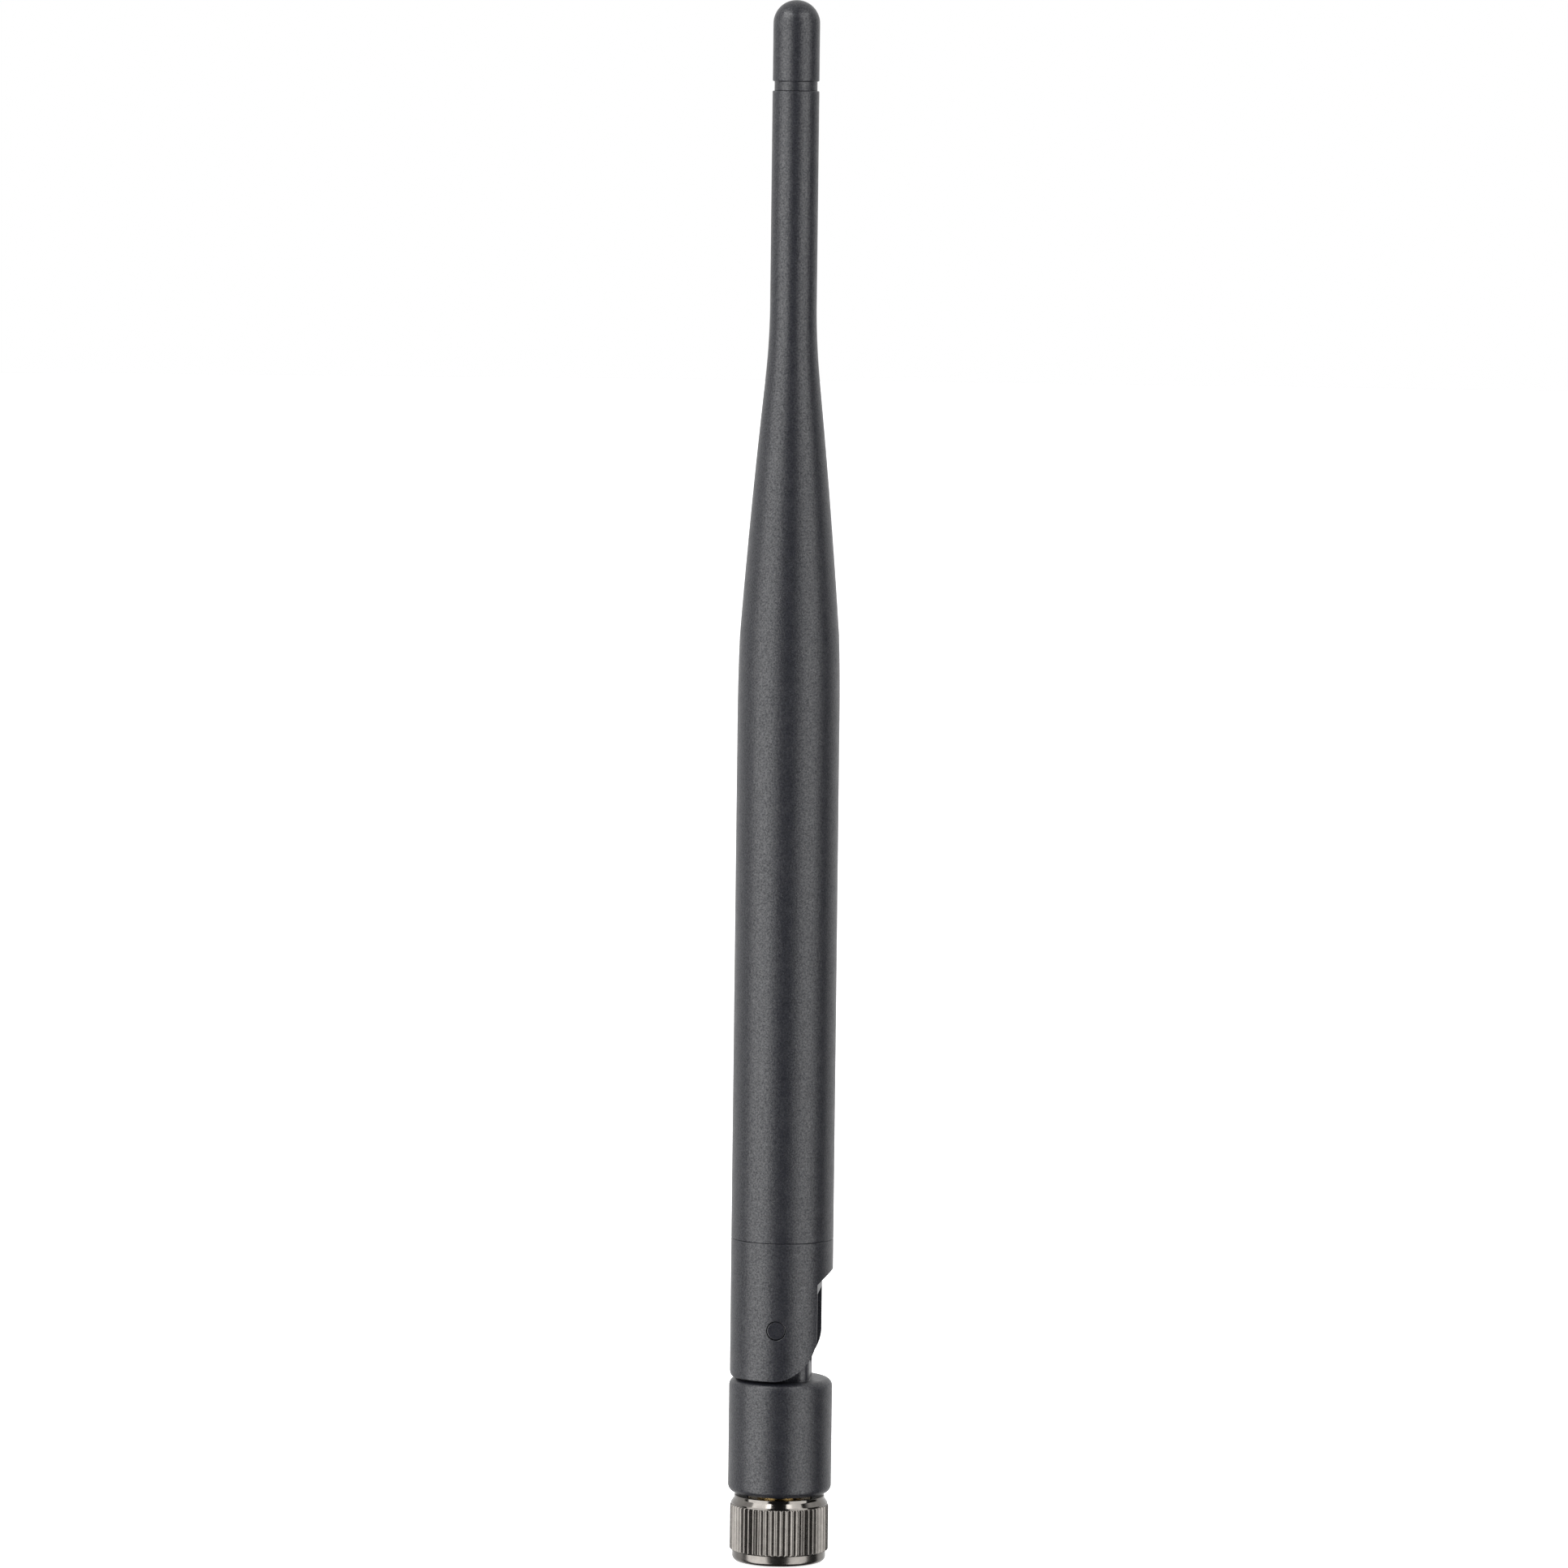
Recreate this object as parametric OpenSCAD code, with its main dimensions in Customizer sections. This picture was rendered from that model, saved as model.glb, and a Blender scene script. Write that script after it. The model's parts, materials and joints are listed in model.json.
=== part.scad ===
// Stick antenna: a tapered mast on a tilting hinge, a swivelling base and a threaded coupling nut.
// Millimetres, +Z up. The origin is on the axis, in the plane of the nut's mouth.
// The mast tips towards +X about a hinge pin that lies along Y.

/* [Overall] */
// Height from the nut's mouth to the tip
total_h = 195; // [190:1:205]
// Height of the hinge axis
pivot_h = 29.85; // [29.7:0.05:30]
// Distance of the hinge axis from the mast's axis, along X
pivot_x = -0.22; // [-0.3:0.02:0]

/* [Coupling nut] */
// Height of the nut
nut_h = 8.35; // [8.2:0.05:8.45]
// Radius over the knurl's crests
knurl_r = 6.18; // [6.1:0.01:6.3]
// Depth of the knurl's grooves
knurl_depth = 0.3; // [0.15:0.05:0.32]
// Number of knurl teeth
knurl_teeth = 52; // [40:2:60]
// Radius of the plain lip at the mouth
nut_lip_r = 5.85; // [5.8:0.01:5.9]
// Radius of the plain neck under the base
nut_neck_r = 5.67; // [5.6:0.01:5.8]
// Wall radius of the threaded stretch, at the crests of the thread
thread_r = 2.87; // [2.83:0.01:2.9]
// Length of the threaded stretch
thread_l = 3; // [2.5:0.1:3]

/* [Connector] */
// Outer radius of the shell where it mates with the jack
sleeve_r = 2.29; // [2.25:0.01:2.3]
// Radius of the shell where the nut and the base turn on it
barrel_r = 2.75; // [2.7:0.01:2.76]
// Radius of the flange that carries the base
flange_r = 3.9; // [3.7:0.05:3.95]
// Radial clearance of the nut and of the base on the shell
running_gap = 0.07; // [0.03:0.01:0.09]

/* [Base] */
// Outer radius of the base
base_r = 6.47; // [6.42:0.01:6.55]
// Height of the base's lower face
base_bottom = 8.66; // [8.66:0.01:8.75]
// Height of the base's upper face
base_top = 23.14; // [23.1:0.01:23.2]
// Rounding of the base's two edges
base_edge_r = 1; // [0.6:0.1:1.2]
// Radius of the tongue's round top, about the hinge axis
tongue_r = 3.97; // [3.8:0.01:4]
// Half of the tongue's width along Y
tongue_half_w = 3.8; // [3.6:0.05:3.82]
// Rounding of the tongue's upright corners
tongue_corner_r = 1.5; // [1.2:0.1:1.6]
// Half of the width of the cable channel in the tongue
channel_half_w = 1.2; // [1.1:0.05:1.4]
// Radius of the hinge pins
pin_r = 1.135; // [1.1:0.005:1.15]

/* [Mast] */
// Outer radius of the yoke
yoke_r = 6.4; // [6.35:0.01:6.42]
// Height of the seam between yoke and radome
seam_h = 40.8; // [40:0.1:42]
// Distance of the yoke's cut-out face from the mast's axis
flat_x = 4.77; // [4.7:0.01:4.8]
// Rounding of the yoke's lower corner on the open side
yoke_arc_r = 5.6; // [5.4:0.05:5.6]
// Half of the width of the slot that holds the tongue
slot_half_w = 3.92; // [3.9:0.01:4]
// Radius of the thin upper rod of the radome
rod_r = 2.9; // [2.8:0.01:3]
// Height where the radome's taper ends and the thin rod begins
taper_top = 157.5; // [156:0.5:159]
// Length of the domed cap with the groove under it
cap_l = 11.2; // [10:0.1:13]

/* [Radiator] */
// Radius of the coax jacket
coax_r = 0.9; // [0.8:0.05:1]
// Length of the brass sleeve, a quarter wave at 2.45 GHz
dipole_sleeve_l = 28; // [26:0.5:30]
// Height of the feed point
feed_h = 77.5; // [77:0.5:79]
// Radius of the radiator wire
wire_r = 0.4; // [0.3:0.05:0.5]
// Turns of the phasing coil
coil_turns = 9; // [5:1:11]
// Radius of the phasing coil at the middle of its wire
coil_r = 1.7; // [1.2:0.1:2]
// Rise of the phasing coil for each turn
coil_pitch = 1.5; // [1.2:0.1:1.6]

/* [Hidden] */
$fn = 96;

plastic = [0.27, 0.28, 0.31];
nickel = [0.52, 0.5, 0.47];
brass = [0.78, 0.62, 0.3];
gold = [0.88, 0.7, 0.3];
copper = [0.8, 0.45, 0.27];
steel = [0.66, 0.67, 0.7];
ptfe = [0.93, 0.93, 0.9];
jacket = [0.42, 0.24, 0.14];
shrink_black = [0.1, 0.1, 0.1];
foam_grey = [0.75, 0.75, 0.72];

// A little more than a touching face needs, so that cuts pass right through
over = 0.2;

// Nut: levels from its mouth up
lip_h = 1.28;
knurl_bottom = 1.52;
knurl_top = 7.16;
shoulder_h = 7.34;
shoulder_r = 6.1;
neck_bottom = 7.97;
// Radius of the plain metal under the knurl, and the radius where the knurl's upper bevel ends
knurl_core_r = shoulder_r - 0.2;
knurl_end_r = shoulder_r - 0.1;
mouth_edge_r = 0.6;
entry_h = 0.45;
relief_r = 3.3;
relief_top = 5.5;
nut_groove_r = 3.35;
nut_groove = [6.15, 6.85];

// Connector: levels and radii
sleeve_bottom = 3.55;
sleeve_top = 5.3;
flange_bottom = 8.72;
flange_top = 9.6;
stem_top = 12.4;
stub_top = 15.2;
stub_r = 1.35;
shell_bore_r = 2.05;
shell_bore_top = 8;
core_bore_r = 0.6;
ring_groove_r = 2.2;
nut_ring = [6.25, 6.75];
snap_ring = [11.05, 11.55];
ring_play = 0.05;
ring_gap = 1.6;
nut_ring_r = nut_groove_r - 0.25;
contact_r = 0.78;
contact_socket_r = 0.47;
contact_bottom = 3.9;
contact_top = 8.9;
socket_l = 2.6;
slit_l = 2;
slit_w = 0.16;
insulator_recess = 0.1;
core_r = 0.45;
braid_r = 1.53;
ferrule_r = 1.9;
ferrule_neck_r = 1.25;
ferrule_step = 15.5;
ferrule_top = 17.2;
ferrule_cone_h = 0.5;
ferrule_lead_h = 0.2;
washer_r = 3.8;
washer_hole_r = barrel_r + 0.1;
washer_play = 0.04;

// Base: inside levels and radii
counterbore_r = 4.1;
counterbore_top = 9.95;
floor_top = 10.95;
cavity_r = 4.8;
cavity_top = 20.6;
cable_hole_r = 1.15;
tongue_root = base_top - 1;
channel_floor = 25.2;
channel_left = -2;
pin_outer_end = 6.28;
pin_inner_end = 1.4;
pin_chamfer = 0.12;

// Yoke: levels and radii
yoke_bottom = base_top + 0.26;
yoke_edge_r = 0.9;
bevel_low = pivot_h + 5.6;
bevel_high = pivot_h + 7.13;
slot_left = -4.55;
slot_corner_r = 0.3;
slot_top = pivot_h + 4.4;
cheek_hole_r = pin_r + running_gap;
cheek_chamfer = 0.25;
spigot_r = 4.95;
spigot_bore_r = 3.6;
spigot_h = 6.7;
spigot_floor = seam_h + 1;
// How far the cutting shapes reach from the mast's axis
reach = yoke_r + 1;

// Radome: the outer outline in three spans, from the thin rod down to the seam
body_r = 6.4;
body_top_r = 6.355;
flank_top = taper_top - 9.5;
crease_h = taper_top - 41.2;
crown_h = crease_h - 10;
flank_slope = 0.104;
flank_bend = 0.000509;
crown_slope = 0.036;
radome_bore_r = 5;
bore_taper_low = 104;
bore_taper_high = 150;
rod_bore_r = 1.9;
edge_bevel = 0.15;

// Tip cap
cap_bottom = total_h - cap_l;
cap_r = 2.89;
cap_neck_r = 2.66;
cap_rim = cap_bottom + 1.17;
plug_r = 1.87;
plug_l = 6.8;
wire_hole_r = 0.75;
wire_hole_top = cap_rim + 1;

// Coax and radiator levels
coax_low_end = ferrule_step;
flex_low = 20.7;
flex_high = 35.4;
tube_clear = 0.02;
core_top = feed_h + 2.3;
sleeve_out_r = 2.4;
sleeve_wall = 0.3;
sleeve_end_l = 0.5;
shrink_wall = 0.3;
shrink_bend = 0.1;
shrink_bottom = feed_h - 5.5;
shrink_shoulder = feed_h + 3;
shrink_top = feed_h + 6.5;
spacer = [58, 61];
wire_foam = [98, 102];
coil_bottom = 107;
coil_rings = 12;
coil_ramp = 0.75;
wire_sides = 8;
wire_bottom = core_top + 0.02;
wire_top = cap_rim + 0.6;

// ---------------------------------------------------------------- helpers

// Takes the sharp corner at [x, y] off an outline; sx and sy point into the material
module corner_cut(x, y, r, sx, sy) {
    difference() {
        translate([sx > 0 ? x - over : x - r, sy > 0 ? y - over : y - r])
            square(r + over);
        translate([x + sx * r, y + sy * r])
            circle(r);
    }
}

// An upright tube between two levels
module tube(r_out, r_in, low, high) {
    translate([0, 0, low])
        difference() {
            cylinder(r = r_out, h = high - low);
            translate([0, 0, -over])
                cylinder(r = r_in, h = high - low + 2 * over);
        }
}

// An upright rod between two levels
module rod(r, low, high) {
    translate([0, 0, low])
        cylinder(r = r, h = high - low);
}

// A split ring with a gap on the +Y side
module split_ring(r_out, r_in, levels) {
    difference() {
        tube(r_out, r_in, levels[0], levels[1]);
        translate([-ring_gap / 2, 0, levels[0] - over])
            cube([ring_gap, r_out + over, levels[1] - levels[0] + 2 * over]);
    }
}

// An outline drawn in X and Z, given thickness along Y on both sides of the mast's axis
module along_y(half_w) {
    rotate([90, 0, 0])
        linear_extrude(2 * half_w, center = true)
            children();
}

// A level rod along Y through the hinge axis, between two distances from the mast's axis
module hinge_rod(r, from, to) {
    translate([pivot_x, from, pivot_h])
        rotate([-90, 0, 0])
            cylinder(r = r, h = to - from);
}

// ---------------------------------------------------------------- coupling nut

// Star outline of the knurl
function knurl_outline() = [
    for (i = [0 : 2 * knurl_teeth - 1])
        let (a = 180 * i / knurl_teeth, r = i % 2 == 0 ? knurl_r : knurl_r - knurl_depth)
            [r * cos(a), r * sin(a)]
];

module nut_smooth_part() {
    rotate_extrude()
        difference() {
            polygon([
                [0, 0], [nut_lip_r, 0], [nut_lip_r, knurl_bottom], [knurl_core_r, knurl_bottom],
                [knurl_core_r, knurl_top - over], [shoulder_r, knurl_top - over],
                [shoulder_r, shoulder_h], [nut_neck_r, neck_bottom], [nut_neck_r, nut_h], [0, nut_h]
            ]);
            corner_cut(nut_lip_r, 0, mouth_edge_r, -1, 1);
        }
}

module nut_knurl() {
    intersection() {
        translate([0, 0, lip_h])
            linear_extrude(knurl_top - lip_h)
                polygon(knurl_outline());
        rotate_extrude()
            polygon([
                [0, lip_h], [nut_lip_r, lip_h], [knurl_r + over, knurl_bottom + over],
                [knurl_r + over, knurl_top - 2 * over], [knurl_end_r, knurl_top], [0, knurl_top]
            ]);
    }
}

module nut_bore() {
    rotate_extrude()
        polygon([
            [0, -over], [relief_r + over, -over], [relief_r, 0], [thread_r, entry_h],
            [thread_r, entry_h + thread_l], [relief_r, entry_h + thread_l], [relief_r, relief_top],
            [barrel_r + running_gap, relief_top], [barrel_r + running_gap, nut_groove[0]],
            [nut_groove_r, nut_groove[0]], [nut_groove_r, nut_groove[1]],
            [barrel_r + running_gap, nut_groove[1]], [barrel_r + running_gap, nut_h + over],
            [0, nut_h + over]
        ]);
}

module coupling_nut() {
    color(nickel)
        difference() {
            union() {
                nut_smooth_part();
                nut_knurl();
            }
            nut_bore();
        }
}

// ---------------------------------------------------------------- connector

module connector_body() {
    color(brass)
        rotate_extrude()
            difference() {
                polygon([
                    [0, sleeve_bottom], [sleeve_r, sleeve_bottom], [sleeve_r, sleeve_top],
                    [barrel_r, sleeve_top], [barrel_r, flange_bottom], [flange_r, flange_bottom],
                    [flange_r, flange_top], [barrel_r, flange_top], [barrel_r, stem_top],
                    [stub_r, stem_top], [stub_r, stub_top], [0, stub_top]
                ]);
                translate([0, sleeve_bottom - over])
                    square([shell_bore_r, shell_bore_top - sleeve_bottom + over]);
                square([core_bore_r, stub_top + over]);
                translate([ring_groove_r, nut_ring[0] - ring_play])
                    square([barrel_r, nut_ring[1] - nut_ring[0] + 2 * ring_play]);
                translate([ring_groove_r, snap_ring[0] - ring_play])
                    square([barrel_r, snap_ring[1] - snap_ring[0] + 2 * ring_play]);
            }
}

module dielectric_insulator() {
    bush_low = sleeve_bottom + insulator_recess;
    color(ptfe)
        tube(shell_bore_r - tube_clear, contact_r + tube_clear, bush_low, shell_bore_top - tube_clear);
}

module centre_contact() {
    color(gold)
        difference() {
            union() {
                rod(contact_r, contact_bottom, shell_bore_top - tube_clear);
                rod(core_bore_r - 2 * tube_clear, contact_bottom, contact_top);
            }
            rod(contact_socket_r, contact_bottom - over, contact_bottom + socket_l);
            translate([-contact_r - over, -slit_w / 2, contact_bottom - over])
                cube([2 * (contact_r + over), slit_w, slit_l + over]);
        }
}

module nut_retaining_ring() {
    color(steel)
        split_ring(nut_ring_r, ring_groove_r + ring_play, nut_ring);
}

module friction_washer() {
    color(ptfe)
        tube(washer_r, washer_hole_r, flange_top + washer_play, counterbore_top - washer_play);
}

module swivel_snap_ring() {
    color(steel)
        split_ring(nut_groove_r, ring_groove_r + ring_play, snap_ring);
}

// ---------------------------------------------------------------- coax

module coax_braid_end() {
    color(steel)
        tube(braid_r, stub_r + tube_clear, stem_top + tube_clear, stub_top);
}

module crimp_ferrule() {
    color(brass)
        rotate_extrude()
            polygon([
                [braid_r + tube_clear, stem_top + tube_clear], [ferrule_r, stem_top + tube_clear],
                [ferrule_r, ferrule_step], [ferrule_neck_r, ferrule_step + ferrule_cone_h],
                [ferrule_neck_r, ferrule_top],
                [coax_r + tube_clear, ferrule_top], [coax_r + tube_clear, ferrule_step],
                [braid_r + tube_clear, ferrule_step - ferrule_lead_h]
            ]);
}

module coax_lower_core() {
    color(ptfe)
        rod(core_r, contact_top + tube_clear, coax_low_end);
}

module coax_lower() {
    color(jacket)
        rod(coax_r, coax_low_end, flex_low - tube_clear);
}

module coax_flex() {
    color(jacket)
        rod(coax_r, flex_low, flex_high);
}

module coax_upper() {
    color(jacket)
        rod(coax_r, flex_high + tube_clear, feed_h);
}

module coax_upper_core() {
    color(ptfe)
        rod(core_r, feed_h + tube_clear, core_top);
}

// ---------------------------------------------------------------- base

module base_shell() {
    rotate_extrude()
        difference() {
            translate([0, base_bottom])
                square([base_r, base_top - base_bottom]);
            corner_cut(base_r, base_bottom, base_edge_r, -1, 1);
            corner_cut(base_r, base_top, base_edge_r, -1, -1);
        }
}

// Tongue: a block with rounded upright corners and a top that is round about the hinge axis
module tongue() {
    inner_x = tongue_r - tongue_corner_r;
    inner_y = tongue_half_w - tongue_corner_r;
    intersection() {
        along_y(tongue_half_w + over)
            union() {
                translate([pivot_x - tongue_r, tongue_root])
                    square([2 * tongue_r, pivot_h - tongue_root]);
                translate([pivot_x, pivot_h])
                    circle(tongue_r);
            }
        translate([pivot_x, 0, tongue_root - over])
            linear_extrude(pivot_h + tongue_r)
                union() {
                    square([2 * inner_x, 2 * tongue_half_w], center = true);
                    square([2 * tongue_r, 2 * inner_y], center = true);
                    for (sx = [-1, 1], sy = [-1, 1])
                        translate([sx * inner_x, sy * inner_y])
                            circle(tongue_corner_r);
                }
    }
}

module base_housing() {
    color(plastic)
        difference() {
            union() {
                base_shell();
                tongue();
            }
            rod(counterbore_r, base_bottom - over, counterbore_top);
            rod(barrel_r + running_gap, base_bottom, floor_top + over);
            rod(cavity_r, floor_top, cavity_top);
            rod(cable_hole_r, cavity_top - over, channel_floor + over);
            translate([channel_left, -channel_half_w, channel_floor])
                cube([2 * tongue_r, 2 * channel_half_w, pivot_h + tongue_r - channel_floor + over]);
            hinge_rod(pin_r, -tongue_half_w - over, tongue_half_w + over);
        }
}

// One pin, drawn for the front and turned round for the rear
module hinge_pin() {
    translate([pivot_x, -pin_outer_end, pivot_h])
        rotate([-90, 0, 0])
            rotate_extrude()
                polygon([
                    [0, 0], [pin_r - pin_chamfer, 0], [pin_r, pin_chamfer],
                    [pin_r, pin_outer_end - pin_inner_end], [0, pin_outer_end - pin_inner_end]
                ]);
}

module hinge_pin_front() {
    color(plastic)
        hinge_pin();
}

module hinge_pin_rear() {
    color(plastic)
        mirror([0, 1, 0])
            hinge_pin();
}

// ---------------------------------------------------------------- yoke

// Side outline of the yoke, in X and Z: closed on -X, cut back and rounded on +X
module yoke_outline() {
    difference() {
        translate([-reach, yoke_bottom])
            square([2 * reach, seam_h - yoke_bottom]);
        polygon([
            [flat_x, yoke_bottom - over], [flat_x, bevel_low], [yoke_r, bevel_high],
            [reach + over, bevel_high], [reach + over, yoke_bottom - over]
        ]);
        corner_cut(flat_x, yoke_bottom, yoke_arc_r, -1, 1);
        corner_cut(-yoke_r, yoke_bottom, yoke_edge_r, 1, 1);
        translate([-reach - over, yoke_bottom - over])
            square([reach - yoke_r + over, yoke_edge_r + over]);
    }
}

// Slot for the tongue, open below and on +X, with rounded inner corners
module yoke_slot() {
    inner_y = slot_half_w - slot_corner_r;
    translate([0, 0, yoke_bottom - over])
        linear_extrude(slot_top - yoke_bottom + over)
            union() {
                translate([slot_left + slot_corner_r, -slot_half_w])
                    square([2 * yoke_r, 2 * slot_half_w]);
                translate([slot_left, -inner_y])
                    square([2 * slot_corner_r, 2 * inner_y]);
                for (sy = [-1, 1])
                    translate([slot_left + slot_corner_r, sy * inner_y])
                        circle(slot_corner_r);
            }
}

// Hole for a hinge pin through one cheek, with a chamfer at its outer end
module cheek_hole() {
    translate([pivot_x, -yoke_r, pivot_h])
        rotate([-90, 0, 0])
            rotate_extrude()
                polygon([
                    [0, -over], [cheek_hole_r + cheek_chamfer + over, -over],
                    [cheek_hole_r, cheek_chamfer], [cheek_hole_r, yoke_r - slot_half_w + over],
                    [0, yoke_r - slot_half_w + over]
                ]);
}

module yoke() {
    color(plastic)
        difference() {
            union() {
                intersection() {
                    rod(yoke_r, yoke_bottom, seam_h);
                    along_y(reach)
                        yoke_outline();
                }
                rod(spigot_r, seam_h - over, seam_h + spigot_h);
            }
            yoke_slot();
            cheek_hole();
            mirror([0, 1, 0])
                cheek_hole();
            rod(cable_hole_r, slot_top - over, seam_h + spigot_h + over);
            rod(spigot_bore_r, spigot_floor, seam_h + spigot_h + over);
        }
}

// ---------------------------------------------------------------- radome and cap

// Radius of each span of the taper, at a height inside that span
function foot_r(z) = rod_r + flank_slope / (2 * (taper_top - flank_top)) * pow(taper_top - z, 2);
function flank_r(z) = foot_r(flank_top) + flank_slope * (flank_top - z) - flank_bend * pow(flank_top - z, 2);
function crown_r(z) = flank_r(crease_h) + crown_slope * (crease_h - z)
    - crown_slope / (2 * (crease_h - crown_h)) * pow(crease_h - z, 2);

foot_steps = 6;
flank_steps = 14;
crown_steps = 5;

// Heights of the outline's points in one span, above its lower end
function span_levels(low, high, steps) = [for (i = [1 : steps]) low + (high - low) * i / steps];

function radome_outline() = concat(
    [[0, seam_h], [body_r, seam_h], [body_top_r, crown_h]],
    [for (z = span_levels(crown_h, crease_h, crown_steps)) [crown_r(z), z]],
    [for (z = span_levels(crease_h, flank_top, flank_steps)) [flank_r(z), z]],
    [for (z = span_levels(flank_top, taper_top, foot_steps)) [foot_r(z), z]],
    [[rod_r, cap_bottom - edge_bevel], [rod_r - edge_bevel, cap_bottom], [0, cap_bottom]]
);

module radome() {
    color(plastic)
        rotate_extrude()
            difference() {
                polygon(radome_outline());
                polygon([
                    [0, seam_h - over], [radome_bore_r, seam_h - over], [radome_bore_r, bore_taper_low],
                    [rod_bore_r, bore_taper_high], [rod_bore_r, cap_bottom + over], [0, cap_bottom + over]
                ]);
            }
}

module tip_cap() {
    color(plastic)
        rotate_extrude()
            difference() {
                union() {
                    translate([0, cap_bottom - plug_l])
                        square([plug_r, plug_l + over]);
                    translate([0, cap_bottom])
                        square([cap_neck_r, cap_rim - cap_bottom + over]);
                    polygon([
                        [0, cap_rim], [cap_r - edge_bevel, cap_rim], [cap_r, cap_rim + edge_bevel],
                        [cap_r, total_h - cap_r], [0, total_h - cap_r]
                    ]);
                    intersection() {
                        translate([0, total_h - cap_r])
                            circle(cap_r);
                        translate([0, total_h - cap_r - over])
                            square(2 * cap_r);
                    }
                }
                translate([0, cap_bottom - plug_l - over])
                    square([wire_hole_r, wire_hole_top - cap_bottom + plug_l + over]);
            }
}

// ---------------------------------------------------------------- radiator

module dipole_sleeve() {
    inner_r = sleeve_out_r - sleeve_wall;
    low = feed_h - dipole_sleeve_l;
    color(brass)
        rotate_extrude()
            polygon([
                [inner_r, low], [sleeve_out_r, low], [sleeve_out_r, feed_h],
                [coax_r + tube_clear, feed_h], [coax_r + tube_clear, feed_h - sleeve_end_l],
                [inner_r, feed_h - sleeve_end_l]
            ]);
}

module sleeve_spacer() {
    color(ptfe)
        tube(radome_bore_r - tube_clear, sleeve_out_r + tube_clear, spacer[0], spacer[1]);
}

module feed_heatshrink() {
    color(shrink_black)
        rotate_extrude()
            polygon([
                [sleeve_out_r + tube_clear, shrink_bottom], [sleeve_out_r + shrink_wall, shrink_bottom],
                [sleeve_out_r + shrink_wall, feed_h + shrink_bend], [core_r + shrink_wall, shrink_shoulder],
                [core_r + shrink_wall, shrink_top], [core_r + tube_clear, shrink_top],
                [core_r + tube_clear, shrink_shoulder - shrink_bend],
                [sleeve_out_r + tube_clear, feed_h + tube_clear]
            ]);
}

// Middle line of the wire: straight, then a coil whose ends run smoothly to the axis, then straight
function ease(t) = t * t * (3 - 2 * t);
function coil_radius(u) = coil_r * ease(min(1, u / coil_ramp, (coil_turns - u) / coil_ramp));
function coil_point(u) = [
    coil_radius(u) * cos(360 * u), coil_radius(u) * sin(360 * u), coil_bottom + coil_pitch * u
];
coil_steps = coil_turns * coil_rings;
wire_path = concat(
    [[0, 0, wire_bottom]],
    [for (i = [0 : coil_steps]) coil_point(i / coil_rings)],
    [[0, 0, wire_top]]
);
wire_count = len(wire_path);

// Direction of the path at each point, and the outward direction that a ring of the tube starts from
function unit(v) = v / norm(v);
function wire_tangent(i) = unit(wire_path[min(i + 1, wire_count - 1)] - wire_path[max(i - 1, 0)]);
function wire_turn(i) = 360 * min(max(i - 1, 0), coil_steps) / coil_rings;
function wire_normal(i) =
    let (t = wire_tangent(i), out = [cos(wire_turn(i)), sin(wire_turn(i)), 0])
        unit(out - (out * t) * t);
function wire_ring(i) =
    let (n = wire_normal(i), b = cross(wire_tangent(i), n))
        [for (k = [0 : wire_sides - 1])
            let (a = 360 * k / wire_sides)
                wire_path[i] + wire_r * (cos(a) * n + sin(a) * b)];

module radiator_wire() {
    last = (wire_count - 1) * wire_sides;
    color(copper)
        polyhedron(
            points = [for (i = [0 : wire_count - 1]) each wire_ring(i)],
            faces = concat(
                [[for (k = [0 : wire_sides - 1]) k]],
                [for (i = [0 : wire_count - 2], k = [0 : wire_sides - 1])
                    let (a = i * wire_sides + k, b = i * wire_sides + (k + 1) % wire_sides)
                        [a, a + wire_sides, b]],
                [for (i = [0 : wire_count - 2], k = [0 : wire_sides - 1])
                    let (a = i * wire_sides + k, b = i * wire_sides + (k + 1) % wire_sides)
                        [b, a + wire_sides, b + wire_sides]],
                [[for (k = [wire_sides - 1 : -1 : 0]) last + k]]
            )
        );
}

module wire_spacer() {
    color(foam_grey)
        tube(radome_bore_r - tube_clear, wire_r + tube_clear, wire_foam[0], wire_foam[1]);
}

// ---------------------------------------------------------------- drawing

coupling_nut();
connector_body();
dielectric_insulator();
centre_contact();
nut_retaining_ring();
friction_washer();
swivel_snap_ring();
coax_braid_end();
crimp_ferrule();
coax_lower_core();
coax_lower();
coax_flex();
base_housing();
hinge_pin_front();
hinge_pin_rear();
yoke();
radome();
tip_cap();
coax_upper();
coax_upper_core();
dipole_sleeve();
sleeve_spacer();
feed_heatshrink();
radiator_wire();
wire_spacer();
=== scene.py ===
import json
import math

import bmesh
import bpy
from mathutils import Matrix, Vector


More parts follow.
